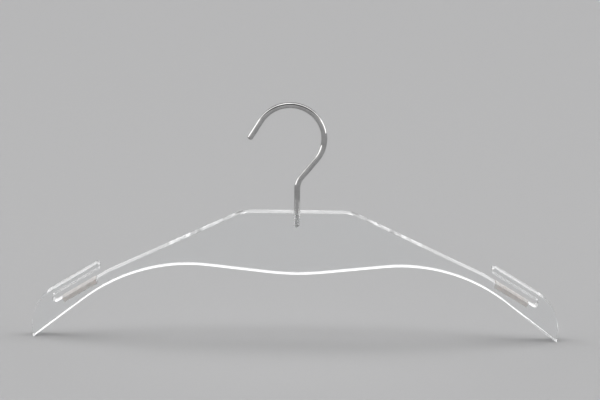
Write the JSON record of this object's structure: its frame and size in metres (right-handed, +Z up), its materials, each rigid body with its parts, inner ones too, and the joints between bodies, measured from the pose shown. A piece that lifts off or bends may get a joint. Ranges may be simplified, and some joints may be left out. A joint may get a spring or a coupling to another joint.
{
  "type": "clothes hanger",
  "caption": "Flat clear acrylic clothes hanger with a swivelling steel hook, overhanging strap fingers and soft grip pads.",
  "frame": {"origin": "the point of the hook's inner curve straight above the plate's centre, where the hanger sits on a rail", "axes": "+X along the hanger from the hook's open side to its closed side, +Y through the plate from front to back, +Z up along the hook's shank"},
  "size_m": [0.4406, 0.012, 0.202],
  "materials": {
    "polished_steel": "polished",
    "clear_acrylic": "clear, polished edges",
    "frosted_silicone": "frosted, translucent"
  },
  "bodies": {
    "hook": {"hook": "polished_steel"},
    "hanger_body": {"acrylic_body": "clear_acrylic", "left_grip_pad": "frosted_silicone", "right_grip_pad": "frosted_silicone"}
  },
  "joints": [
    {"name": "hook_swivel", "type": "hinge", "parent": "hook", "child": "hanger_body", "pos_m": [0, 0, -0.08755], "axis": [0, 0, 1], "range_deg": [-180, 180]}
  ]
}
